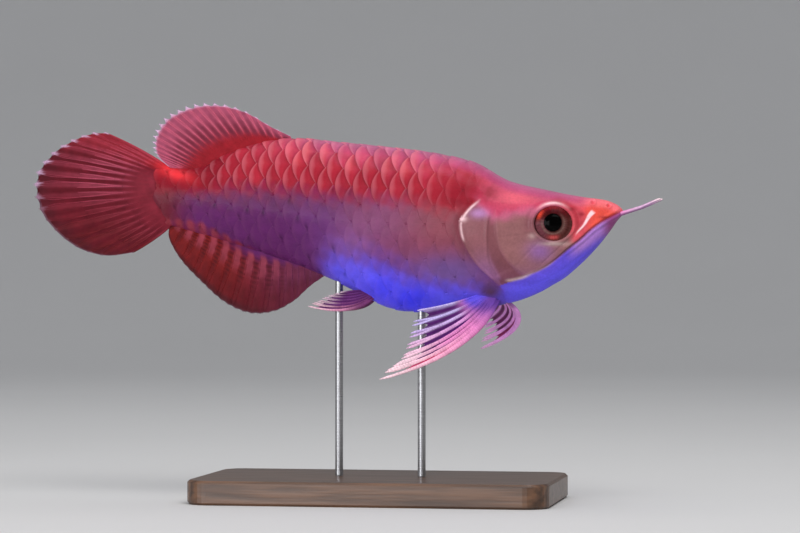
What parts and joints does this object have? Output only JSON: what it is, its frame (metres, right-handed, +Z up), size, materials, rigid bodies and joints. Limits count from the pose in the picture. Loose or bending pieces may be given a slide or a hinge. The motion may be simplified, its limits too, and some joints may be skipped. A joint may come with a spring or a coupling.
{
  "type": "fish model",
  "caption": "Swimming Asian arowana, deep-bodied with large scales, spread fins and two chin barbels, on a flat base with rods.",
  "frame": {"origin": "centre of the display base's underside", "axes": "+X towards the fish's snout, -Y towards its right side, +Z up"},
  "size_m": [0.3229, 0.1105, 0.2],
  "materials": {
    "head_skin": "wet sheen",
    "jaw_skin": "wet sheen",
    "cheek": "wet sheen",
    "scales": "wet sheen, iridescent",
    "eye": "polished",
    "barbel": "satin",
    "red_fin": "satin",
    "pale_fin": "satin",
    "stand_wood": "satin varnish",
    "stand_steel": "brushed"
  },
  "bodies": {
    "root": {"head": "head_skin", "lower_jaw": "jaw_skin", "gill_cover_right": "cheek", "gill_cover_left": "cheek", "eye_right": "eye", "eye_left": "eye", "barbel_right": "barbel", "barbel_left": "barbel", "trunk": "scales", "tail_stalk": "scales", "dorsal_fin": "red_fin", "anal_fin": "red_fin", "caudal_fin": "red_fin", "pectoral_fin_right": "pale_fin", "pectoral_fin_left": "pale_fin", "pelvic_fin_right": "pale_fin", "pelvic_fin_left": "pale_fin", "stand_base": "stand_wood", "stand_rod_front": "stand_steel", "stand_rod_rear": "stand_steel"}
  },
  "joints": []
}
